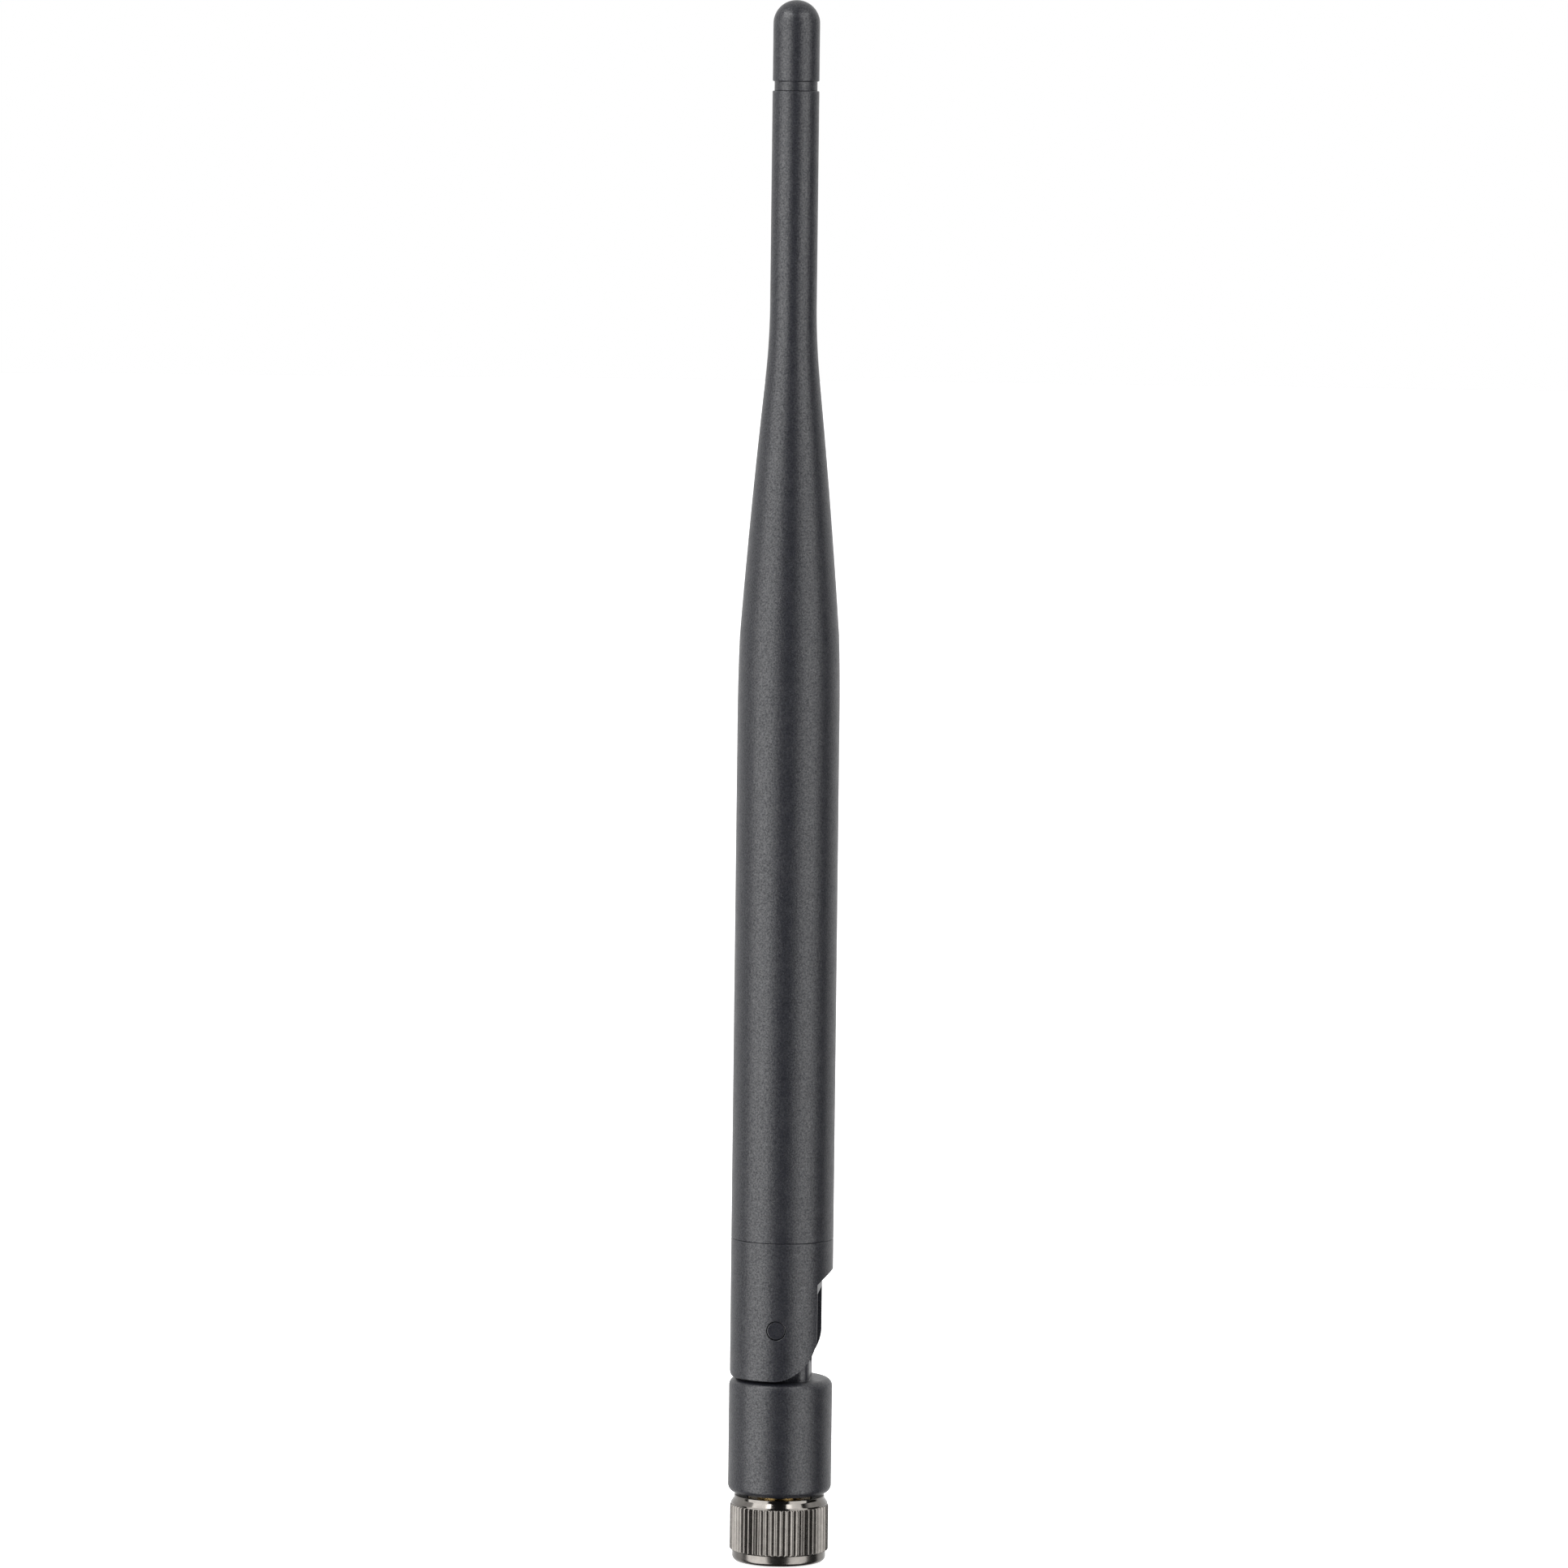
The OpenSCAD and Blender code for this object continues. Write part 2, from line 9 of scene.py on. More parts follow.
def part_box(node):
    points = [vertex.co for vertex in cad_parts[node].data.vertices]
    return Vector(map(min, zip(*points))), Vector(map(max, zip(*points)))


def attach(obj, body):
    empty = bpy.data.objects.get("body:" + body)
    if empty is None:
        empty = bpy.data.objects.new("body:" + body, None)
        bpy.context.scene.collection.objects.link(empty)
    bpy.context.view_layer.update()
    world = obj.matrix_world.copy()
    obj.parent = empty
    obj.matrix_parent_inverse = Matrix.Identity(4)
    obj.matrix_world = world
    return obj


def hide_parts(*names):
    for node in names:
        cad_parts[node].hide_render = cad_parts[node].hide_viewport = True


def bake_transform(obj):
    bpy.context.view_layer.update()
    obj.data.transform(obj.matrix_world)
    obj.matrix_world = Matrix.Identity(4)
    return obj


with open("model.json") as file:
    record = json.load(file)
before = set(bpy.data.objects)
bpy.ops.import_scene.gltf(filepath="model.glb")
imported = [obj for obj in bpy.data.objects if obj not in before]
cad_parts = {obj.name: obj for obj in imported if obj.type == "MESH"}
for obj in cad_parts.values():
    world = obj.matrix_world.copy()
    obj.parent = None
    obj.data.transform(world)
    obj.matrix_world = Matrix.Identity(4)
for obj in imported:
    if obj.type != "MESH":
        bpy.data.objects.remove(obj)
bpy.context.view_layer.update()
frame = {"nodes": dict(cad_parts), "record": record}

# ------------------------------------------------------------------ sizes, in millimetres

MM = 0.001


def box_mm(node):
    """Lowest and highest corner of a CAD node, in millimetres."""
    low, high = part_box(node)
    return [v / MM for v in low], [v / MM for v in high]


def joint_mm(name):
    """Place of a joint in millimetres."""
    for joint in frame["record"]["behaviour"]["joints"]:
        if joint["name"] == name:
            return [v / MM for v in joint["pos_m"]]
    raise ValueError(name)


PIVOT_X, _, PIVOT_Z = joint_mm("mast_tilt")
_, NUT_HIGH = box_mm("coupling_nut")
BASE_LOW, BASE_HIGH = box_mm("base_housing")
YOKE_LOW, YOKE_HIGH = box_mm("yoke")
RADOME_LOW, RADOME_HIGH = box_mm("radome")
CAP_LOW, CAP_HIGH = box_mm("tip_cap")
SHELL_LOW, SHELL_HIGH = box_mm("connector_body")
PIN_LOW, PIN_HIGH = box_mm("hinge_pin_front")
FLEX_LOW, FLEX_HIGH = box_mm("coax_flex")

NUT_H = NUT_HIGH[2]
BASE_R = BASE_HIGH[0]
BASE_BOTTOM = BASE_LOW[2]
BASE_TOP = 23.14
YOKE_R = -YOKE_LOW[0]
YOKE_BOTTOM = YOKE_LOW[2]
SEAM = RADOME_LOW[2]
RADOME_TOP = RADOME_HIGH[2]
ROD_R = 2.9
TIP = CAP_HIGH[2]
PIN_R = (PIN_HIGH[0] - PIN_LOW[0]) / 2

# Columns of a round thing, the widest step of an arc, and how far its chords may stray
SEGMENTS = 192
FILLET_STEP = math.radians(11)
ARC_ERROR = 0.0012

# ------------------------------------------------------------------ outlines


def arc(centre, radius, start, sweep):
    """Points of an arc, angles in radians."""
    step = min(FILLET_STEP, 2 * math.acos(1 - ARC_ERROR / max(radius, ARC_ERROR)))
    steps = max(2, math.ceil(abs(sweep) / step))
    angles = [start + sweep * k / steps for k in range(steps + 1)]
    return [(centre[0] + radius * math.cos(a), centre[1] + radius * math.sin(a)) for a in angles]


def rounded(corners):
    """Closed outline through corners (x, y, fillet radius), each corner replaced by its arc."""
    points = []
    for i, (x, y, radius) in enumerate(corners):
        here = Vector((x, y))
        if radius == 0:
            points.append((x, y))
            continue
        back = (Vector(corners[i - 1][:2]) - here).normalized()
        on = (Vector(corners[(i + 1) % len(corners)][:2]) - here).normalized()
        half = back.angle(on) / 2
        centre = here + (back + on).normalized() * (radius / math.sin(half))
        first = here + back * (radius / math.tan(half)) - centre
        last = here + on * (radius / math.tan(half)) - centre
        start = math.atan2(first.y, first.x)
        sweep = (math.atan2(last.y, last.x) - start + math.pi) % (2 * math.pi) - math.pi
        points += arc(centre, radius, start, sweep)
    return points


def supported(points, closed, long_run=0.5, near=0.06):
    """Adds a point close to each end of every long straight run, so that it shades flat."""
    out = []
    for i, p in enumerate(points):
        out.append(p)
        if i + 1 == len(points) and not closed:
            break
        a, b = Vector(p), Vector(points[(i + 1) % len(points)])
        length = (b - a).length
        if length > long_run:
            step = (b - a) * (near / length)
            out += [tuple(a + step), tuple(b - step)]
    return out


def laddered(points, rung=1.0):
    """Adds points along every long upright run, so that one cut can't bend a whole column."""
    out = []
    for p, q in zip(points, points[1:] + points[:1]):
        out.append(p)
        if abs(p[0] - q[0]) < 1e-6 and p[0] > 0:
            steps = math.ceil(abs(q[1] - p[1]) / rung)
            out += [(p[0], p[1] + (q[1] - p[1]) * k / steps) for k in range(1, steps)]
    return out


# ------------------------------------------------------------------ meshes


def make_object(name, bm):
    """Turns a bmesh into an object in the scene."""
    bmesh.ops.recalc_face_normals(bm, faces=bm.faces)
    mesh = bpy.data.meshes.new(name)
    bm.to_mesh(mesh)
    bm.free()
    obj = bpy.data.objects.new(name, mesh)
    bpy.context.scene.collection.objects.link(obj)
    return obj


def skin_rings(bm, rings, closed):
    """Faces between one ring of vertices and the next; a ring of one vertex is a pole."""
    pairs = list(zip(rings, rings[1:]))
    if closed:
        pairs.append((rings[-1], rings[0]))
    for lower, upper in pairs:
        for k in range(max(len(lower), len(upper))):
            corners = [
                lower[k % len(lower)], lower[(k + 1) % len(lower)],
                upper[(k + 1) % len(upper)], upper[k % len(upper)],
            ]
            corners = list(dict.fromkeys(corners))
            if len(corners) > 2:
                bm.faces.new(corners)


def turned(name, outline, closed=False, steps=SEGMENTS):
    """A solid turned about Z from (radius, height) points; closed for a ring-shaped one."""
    bm = bmesh.new()
    rings = []
    for radius, height in supported(outline, closed):
        if radius < 1e-6:
            rings.append([bm.verts.new((0, 0, height))])
            continue
        turn = 2 * math.pi / steps
        rings.append([
            bm.verts.new((radius * math.cos(turn * k), radius * math.sin(turn * k), height))
            for k in range(steps)
        ])
    skin_rings(bm, rings, closed)
    return make_object(name, bm)


def prism(name, outline, low, high, along="Z"):
    """An outline given length along Z (outline in X and Y) or along Y (outline in X and Z)."""
    bm = bmesh.new()
    rings = []
    for level in (low, high):
        if along == "Z":
            rings.append([bm.verts.new((a, b, level)) for a, b in outline])
        else:
            rings.append([bm.verts.new((a, level, b)) for a, b in outline])
    skin_rings(bm, rings, False)
    bm.faces.new(rings[0])
    bm.faces.new(rings[1])
    return make_object(name, bm)


def applied(obj):
    """Applies an object's modifiers to its mesh."""
    graph = bpy.context.evaluated_depsgraph_get()
    mesh = bpy.data.meshes.new_from_object(obj.evaluated_get(graph))
    obj.modifiers.clear()
    obj.data = mesh
    return obj


def combine(target, tool, operation):
    """Cuts, joins or intersects target with tool, and removes tool."""
    modifier = target.modifiers.new(operation, "BOOLEAN")
    modifier.operation = operation
    modifier.solver = "EXACT"
    modifier.object = tool
    applied(target)
    bpy.data.objects.remove(tool)
    return target


def finished(obj, body, slot, *nodes, sharp=50):
    """Takes a piece from millimetres to metres, shades it, and gives it its body and finish."""
    obj.data.transform(Matrix.Scale(MM, 4))
    obj.data.polygons.foreach_set("use_smooth", [True] * len(obj.data.polygons))
    obj.data.set_sharp_from_angle(angle=math.radians(sharp))
    weights = obj.modifiers.new("even shading", "WEIGHTED_NORMAL")
    weights.keep_sharp = True
    obj.data.materials.clear()
    obj.data.materials.append(MATERIALS[slot])
    if nodes:
        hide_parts(*nodes)
    if body:
        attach(obj, body)
    return obj


# ------------------------------------------------------------------ materials


class Recipe:
    """A node material with a Principled shader and a few short ways to feed it."""

    def __init__(self, name):
        self.material = bpy.data.materials.new(name)
        self.material.use_nodes = True
        self.tree = self.material.node_tree
        self.shader = self.tree.nodes["Principled BSDF"]
        self.place = self.node("ShaderNodeTexCoord").outputs["Object"]

    def node(self, kind, **values):
        made = self.tree.nodes.new(kind)
        for key, value in values.items():
            made.inputs[key].default_value = value
        return made

    def link(self, source, target):
        self.tree.links.new(source, target)

    def stretched(self, scale):
        """The place on the object, scaled by its own amount along each axis."""
        mapping = self.node("ShaderNodeMapping", Scale=scale)
        self.link(self.place, mapping.inputs["Vector"])
        return mapping.outputs["Vector"]

    def noise(self, size_mm, detail=2.0, place=None):
        """Noise whose blotches are about size_mm across."""
        noise = self.node("ShaderNodeTexNoise", Scale=1 / (size_mm * MM), Detail=detail)
        self.link(place or self.place, noise.inputs["Vector"])
        return noise.outputs["Fac"]

    def tones(self, fac, dark, light, low=0.3, high=0.7):
        """Two tones of the colour, picked by a noise."""
        ramp = self.tree.nodes.new("ShaderNodeValToRGB")
        ramp.color_ramp.elements[0].position = low
        ramp.color_ramp.elements[0].color = (*dark, 1)
        ramp.color_ramp.elements[1].position = high
        ramp.color_ramp.elements[1].color = (*light, 1)
        self.link(fac, ramp.inputs["Fac"])
        self.link(ramp.outputs["Color"], self.shader.inputs["Base Color"])

    def feed(self, fac, socket, low, high):
        """A shader input that wanders between two values with a noise."""
        spread = self.node("ShaderNodeMapRange")
        spread.inputs["From Min"].default_value = 0.3
        spread.inputs["From Max"].default_value = 0.7
        spread.inputs["To Min"].default_value = low
        spread.inputs["To Max"].default_value = high
        self.link(fac, spread.inputs["Value"])
        self.link(spread.outputs["Result"], self.shader.inputs[socket])

    def gloss(self, fac, smooth, rough):
        """Roughness that wanders between two values with a noise."""
        self.feed(fac, "Roughness", smooth, rough)

    def rounded_edges(self, radius_mm):
        """Cut edges catch the light as if they had a small radius."""
        edges = self.tree.nodes.new("ShaderNodeBevel")
        edges.samples = 8
        edges.inputs["Radius"].default_value = radius_mm * MM
        self.link(edges.outputs["Normal"], self.shader.inputs["Normal"])

    def bump(self, height, depth_mm):
        """Relief of that depth, on top of any normal that is there already."""
        bump = self.node("ShaderNodeBump", Strength=1.0, Distance=depth_mm * MM)
        self.link(height, bump.inputs["Height"])
        if self.shader.inputs["Normal"].is_linked:
            self.link(self.shader.inputs["Normal"].links[0].from_socket, bump.inputs["Normal"])
        self.link(bump.outputs["Normal"], self.shader.inputs["Normal"])


def shade(colour, factor):
    return tuple(c * factor for c in colour)


def moulded_plastic(name, colour, smooth, rough, grain_mm, depth_mm):
    """Moulded plastic with a fine spark-eroded skin."""
    recipe = Recipe(name)
    recipe.tones(recipe.noise(2.5 * grain_mm, 3), shade(colour, 0.82), shade(colour, 1.2))
    recipe.gloss(recipe.noise(1.4, 4), smooth, rough)
    recipe.rounded_edges(EDGE_R)
    recipe.bump(recipe.noise(grain_mm, 3), depth_mm)
    recipe.feed(recipe.noise(1.3 * grain_mm, 3), "Specular IOR Level", 0.26, 0.78)
    return recipe.material


def turned_metal(name, colour, smooth, rough, mark_mm, depth_mm):
    """Turned and plated metal: faint tool marks that run round Z."""
    recipe = Recipe(name)
    recipe.shader.inputs["Metallic"].default_value = 1.0
    marks = recipe.stretched((0.12, 0.12, 1.0))
    recipe.tones(recipe.noise(1.1, 3), shade(colour, 0.93), shade(colour, 1.05))
    recipe.gloss(recipe.noise(0.9, 4), smooth, rough)
    recipe.bump(recipe.noise(mark_mm, 2, marks), depth_mm)
    return recipe.material


def plated_nut(name, colour, lip, satin, polish, satin_low, satin_high):
    """Dark nickel plate with its own roughness on the lip, on the knurl and on the collar."""
    recipe = Recipe(name)
    recipe.shader.inputs["Metallic"].default_value = 1.0
    recipe.tones(recipe.noise(0.9, 3), shade(colour, 0.85), shade(colour, 1.1))
    split = recipe.node("ShaderNodeSeparateXYZ")
    recipe.link(recipe.place, split.inputs["Vector"])
    zone = recipe.tree.nodes.new("ShaderNodeValToRGB")
    zone.color_ramp.interpolation = "CONSTANT"
    zone.color_ramp.elements[0].color = (lip, lip, lip, 1)
    zone.color_ramp.elements[1].position = satin_low * MM / NUT_ZONE
    zone.color_ramp.elements[1].color = (satin, satin, satin, 1)
    zone.color_ramp.elements.new(satin_high * MM / NUT_ZONE).color = (polish, polish, polish, 1)
    share = recipe.node("ShaderNodeMath")
    share.operation = "DIVIDE"
    share.inputs[1].default_value = NUT_ZONE
    recipe.link(split.outputs["Z"], share.inputs[0])
    recipe.link(share.outputs["Value"], zone.inputs["Fac"])
    wander = recipe.node("ShaderNodeMath")
    wander.operation = "MULTIPLY_ADD"
    recipe.link(recipe.noise(0.5, 4), wander.inputs[0])
    wander.inputs[1].default_value = 0.06
    recipe.link(zone.outputs["Color"], wander.inputs[2])
    recipe.link(wander.outputs["Value"], recipe.shader.inputs["Roughness"])
    recipe.bump(recipe.noise(0.1, 2), 0.0004)
    return recipe.material


def smooth_plastic(name, colour, smooth, rough):
    """Extruded or cast plastic with a faint ripple and colour drift."""
    recipe = Recipe(name)
    recipe.tones(recipe.noise(1.6, 2), shade(colour, 0.9), shade(colour, 1.08))
    recipe.gloss(recipe.noise(0.7, 3), smooth, rough)
    recipe.bump(recipe.noise(0.9, 1), 0.01)
    return recipe.material


def woven_braid(name, colour):
    """Two sets of fine wires that cross as they wind round the cable."""
    recipe = Recipe(name)
    recipe.shader.inputs["Metallic"].default_value = 1.0
    recipe.tones(recipe.noise(0.25, 2), shade(colour, 0.7), colour)
    recipe.gloss(recipe.noise(0.3, 2), 0.3, 0.45)
    for lean in (-1, 1):
        wave = recipe.node("ShaderNodeTexWave", Scale=1 / (2.2 * MM), Distortion=0.0)
        turn = recipe.node("ShaderNodeMapping", Rotation=(0.6 * lean, 0.6, 0.8 * lean))
        recipe.link(recipe.place, turn.inputs["Vector"])
        recipe.link(turn.outputs["Vector"], wave.inputs["Vector"])
        recipe.bump(wave.outputs["Fac"], 0.05)
    return recipe.material


def closed_foam(name, colour):
    """Closed-cell foam: small round cells."""
    recipe = Recipe(name)
    cells = recipe.node("ShaderNodeTexVoronoi", Scale=1 / (0.45 * MM))
    recipe.link(recipe.place, cells.inputs["Vector"])
    recipe.tones(cells.outputs["Distance"], shade(colour, 1.05), shade(colour, 0.7), 0.1, 0.6)
    recipe.gloss(recipe.noise(0.5), 0.8, 0.95)
    recipe.bump(cells.outputs["Distance"], 0.12)
    return recipe.material


# Height in metres over which the nut's zones are laid out, and the radius of lit plastic edges
NUT_ZONE = 0.01
EDGE_R = 0.12
PLASTIC = (0.0095, 0.01, 0.0135)
MATERIALS = {
    "housing_plastic": moulded_plastic("housing_plastic", PLASTIC, 0.33, 0.41, 0.16, 0.024),
    "pin_plastic": moulded_plastic("pin_plastic", PLASTIC, 0.3, 0.38, 0.2, 0.014),
    "nickel": plated_nut("nickel", (0.172, 0.161, 0.149), 0.2, 0.25, 0.08, 1.3, 7.2),
    "brass": turned_metal("brass", (0.72, 0.53, 0.24), 0.18, 0.3, 0.08, 0.003),
    "gold": turned_metal("gold", (0.9, 0.64, 0.25), 0.14, 0.22, 0.08, 0.002),
    "spring_steel": turned_metal("spring_steel", (0.5, 0.5, 0.52), 0.2, 0.32, 0.1, 0.003),
    "copper": turned_metal("copper", (0.78, 0.36, 0.2), 0.22, 0.34, 0.1, 0.003),
    "tinned_braid": woven_braid("tinned_braid", (0.66, 0.66, 0.66)),
    "ptfe": smooth_plastic("ptfe", (0.82, 0.82, 0.79), 0.34, 0.46),
    "coax_jacket": smooth_plastic("coax_jacket", (0.16, 0.06, 0.025), 0.22, 0.34),
    "heatshrink": smooth_plastic("heatshrink", (0.012, 0.012, 0.013), 0.4, 0.55),
    "foam": closed_foam("foam", (0.55, 0.55, 0.53)),
}

# Every CAD node takes its slot's material; some are replaced further on
for subpart in frame["record"]["subparts"]:
    node_mesh = frame["nodes"][subpart["node"]].data
    node_mesh.materials.clear()
    node_mesh.materials.append(MATERIALS[subpart["material_slot"]])

# ------------------------------------------------------------------ coupling nut

KNURL_TEETH = 52
KNURL_R = NUT_HIGH[0]
KNURL_DEPTH = 0.28
KNURL_ROOT_R = KNURL_R - KNURL_DEPTH
KNURL_LOW = 1.52
KNURL_HIGH = 7.16
KNURL_START = 1.3
TOOTH_STEPS = 8
LIP_R = 5.85
LIP_EDGE_R = 0.62
COLLAR_R = 6.1
COLLAR_LOW = 7.34
COLLAR_HIGH = 7.97
GROOVE_R = 5.98
NECK_R = 5.67
MOUTH_R = 3.42
MOUTH_EDGE_R = 0.08
THREAD_CREST_R = 2.875
THREAD_DEPTH = 0.3
THREAD_PITCH = 25.4 / 36
THREAD_LOW = 0.45
THREAD_HIGH = 3.45
RELIEF_R = 3.3
RELIEF_HIGH = 5.5
REAR_BORE_R = 2.82
NUT_GROOVE_R = 3.35
NUT_GROOVE = (6.15, 6.85)


def knurl_radius(turn):
    """Radius of the bare knurl: straight V grooves between crests that are a little blunt."""
    phase = (turn * KNURL_TEETH) % 1.0
    ramp = abs(2 * phase - 1)
    blunt = min(1.0, 1.18 * ramp)
    return KNURL_ROOT_R + (KNURL_R - KNURL_ROOT_R) * blunt


def thread_radius(turn, z):
    """Radius of the inner thread, which fades out at both ends of its stretch."""
    phase = (z / THREAD_PITCH - turn) % 1.0
    flank = min(1.0, max(0.0, 1.35 - 2.6 * abs(phase - 0.5)))
    fade = min(1.0, max(0.0, (z - THREAD_LOW) / 0.25), max(0.0, (THREAD_HIGH - z) / 0.3))
    return THREAD_CREST_R + THREAD_DEPTH * flank * max(0.0, fade)


def nut_rows():
    """Rows of the nut's skin from its mouth, up the outside, and back down through the bore."""
    columns = KNURL_TEETH * TOOTH_STEPS
    turns = [k / columns for k in range(columns)]
    rows = []

    def plain(points):
        for radius, z in points:
            rows.append([(radius, z)] * columns)

    def knurled(z, limit):
        rows.append([(max(LIP_R, min(limit, knurl_radius(t))), z) for t in turns])

    plain(arc((MOUTH_R + MOUTH_EDGE_R, MOUTH_EDGE_R), MOUTH_EDGE_R, math.pi, math.pi / 2))
    plain([(4.2, 0.0), (5.0, 0.0)])
    plain(arc((LIP_R - LIP_EDGE_R, LIP_EDGE_R), LIP_EDGE_R, -math.pi / 2, math.pi / 2))
    plain([(LIP_R, 0.7), (LIP_R, 0.95), (LIP_R, 1.22), (LIP_R, 1.27)])
    bevel_rows = 8
    for k in range(bevel_rows + 1):
        share = k / bevel_rows
        knurled(KNURL_START + (KNURL_LOW - KNURL_START) * share, LIP_R + (KNURL_R - LIP_R) * share)
    straight_rows = 6
    for k in range(straight_rows + 1):
        knurled(KNURL_LOW + 0.04 + (KNURL_HIGH - KNURL_LOW - 0.22) * k / straight_rows, KNURL_R)
    for k in range(1, 6):
        knurled(KNURL_HIGH - 0.18 + 0.034 * k, KNURL_R - 0.02 * k)
    outline = rounded([
        (GROOVE_R, KNURL_HIGH + 0.01, 0), (GROOVE_R, COLLAR_LOW, 0.04),
        (COLLAR_R, COLLAR_LOW, 0.04), (NECK_R, COLLAR_HIGH, 0.1), (NECK_R, NUT_H, 0.1),
        (REAR_BORE_R, NUT_H, 0.08), (REAR_BORE_R, 7.0, 0),
    ])
    plain(supported(outline, False))
    groove_low, groove_high = NUT_GROOVE
    plain([
        (REAR_BORE_R, groove_high + 0.01), (REAR_BORE_R, groove_high), (NUT_GROOVE_R, groove_high),
        (NUT_GROOVE_R, groove_low), (REAR_BORE_R, groove_low), (REAR_BORE_R, RELIEF_HIGH),
        (REAR_BORE_R + 0.05, RELIEF_HIGH), (RELIEF_R, RELIEF_HIGH), (RELIEF_R, RELIEF_HIGH - 0.05),
        (RELIEF_R, 4.4), (RELIEF_R, THREAD_HIGH + 0.12),
    ])
    thread_rows = 72
    for k in range(thread_rows + 1):
        z = THREAD_HIGH - (THREAD_HIGH - THREAD_LOW) * k / thread_rows
        rows.append([(thread_radius(t, z), z) for t in turns])
    return turns, rows


def coupling_nut():
    turns, rows = nut_rows()
    bm = bmesh.new()
    rings = []
    for row in rows:
        rings.append([
            bm.verts.new((r * math.cos(2 * math.pi * t), r * math.sin(2 * math.pi * t), z))
            for t, (r, z) in zip(turns, row)
        ])
    skin_rings(bm, rings, True)
    obj = make_object("nut_skin", bm)
    return finished(obj, "nut", "nickel", "coupling_nut")


# ------------------------------------------------------------------ connector, seen up the nut

def connector_shell():
    """Turned shell with the sleeve that enters the jack, a flange for the base and a crimp stub."""
    low = SHELL_LOW[2]
    outline = rounded([
        (0.6, 8.0, 0), (2.05, 8.0, 0.05), (2.05, low, 0.06), (2.29, low, 0.08),
        (2.29, 5.3, 0.05), (2.75, 5.3, 0.1), (2.75, 6.2, 0), (2.2, 6.2, 0), (2.2, 6.8, 0),
        (2.75, 6.8, 0), (2.75, 8.72, 0.05), (SHELL_HIGH[0], 8.72, 0.12),
        (SHELL_HIGH[0], 9.6, 0.12), (2.75, 9.6, 0.05), (2.75, 11.0, 0), (2.2, 11.0, 0),
        (2.2, 11.6, 0), (2.75, 11.6, 0), (2.75, 12.4, 0.15), (1.35, 12.4, 0.05),
        (1.35, SHELL_HIGH[2], 0.1), (0.6, SHELL_HIGH[2], 0.05),
    ])
    obj = turned("shell_skin", outline, closed=True, steps=128)
    return finished(obj, "connector", "brass", "connector_body")


def centre_contact():
    """Gold contact with a slit socket at its lower end and a solder cup above."""
    low, high = box_mm("centre_contact")
    radius, top = high[0], high[2]
    outline = rounded([
        (0, low[2] + 2.6, 0), (0.47, low[2] + 2.4, 0.05), (0.47, low[2], 0.05),
        (radius, low[2], 0.12), (radius, 7.98, 0.06), (0.56, 7.98, 0.04), (0.56, top, 0.08),
        (0, top, 0),
    ])
    obj = turned("contact_skin", outline, steps=96)
    slit_half, slit_h = 0.07, 2.1
    for across in ((1, 0), (0, 1)):
        half_x = radius + 0.2 if across[0] else slit_half
        half_y = radius + 0.2 if across[1] else slit_half
        corners = [(-half_x, -half_y), (half_x, -half_y), (half_x, half_y), (-half_x, half_y)]
        combine(obj, prism("slit", corners, low[2] - 0.2, low[2] + slit_h), "DIFFERENCE")
    return finished(obj, "connector", "gold", "centre_contact")


def insulator():
    """Bush between contact and shell, with its lower face a little dished."""
    low, high = box_mm("dielectric_insulator")
    outline = rounded([
        (0.8, low[2] + 0.25, 0.08), (1.3, low[2] + 0.12, 0.2), (high[0], low[2], 0.12),
        (high[0], high[2], 0.08), (0.8, high[2], 0.05),
    ])
    obj = turned("insulator_skin", outline, closed=True, steps=96)
    return finished(obj, "connector", "ptfe", "dielectric_insulator")


# ------------------------------------------------------------------ base

TONGUE_R = BASE_HIGH[2] - PIVOT_Z
TONGUE_HALF_W = 3.8
TONGUE_CORNER_R = 1.5
CHANNEL_HALF_W = 1.2
CHANNEL_LEFT = -2.0
CHANNEL_FLOOR = 25.2
BASE_EDGE_R = 1.0
BASE_BORE_R = 2.82
BASE_RECESS_R = 4.1
BASE_RECESS_TOP = 9.95
BASE_INSIDE_R = 4.8
CABLE_HOLE_R = 1.15
CUT_ANGLE = 32


def base_tongue():
    """Block with round upright corners and a top that is round about the hinge axis."""
    left, right = PIVOT_X - TONGUE_R, PIVOT_X + TONGUE_R
    low = BASE_TOP - 0.7
    side = [(left, low), (right, low)] + arc((PIVOT_X, PIVOT_Z), TONGUE_R, 0, math.pi)
    obj = prism("tongue", side, -TONGUE_HALF_W - 0.5, TONGUE_HALF_W + 0.5, "Y")
    plan = rounded([
        (left, -TONGUE_HALF_W, TONGUE_CORNER_R), (right, -TONGUE_HALF_W, TONGUE_CORNER_R),
        (right, TONGUE_HALF_W, TONGUE_CORNER_R), (left, TONGUE_HALF_W, TONGUE_CORNER_R),
    ])
    combine(obj, prism("plan", plan, low - 1, BASE_HIGH[2] + 1), "INTERSECT")
    return obj


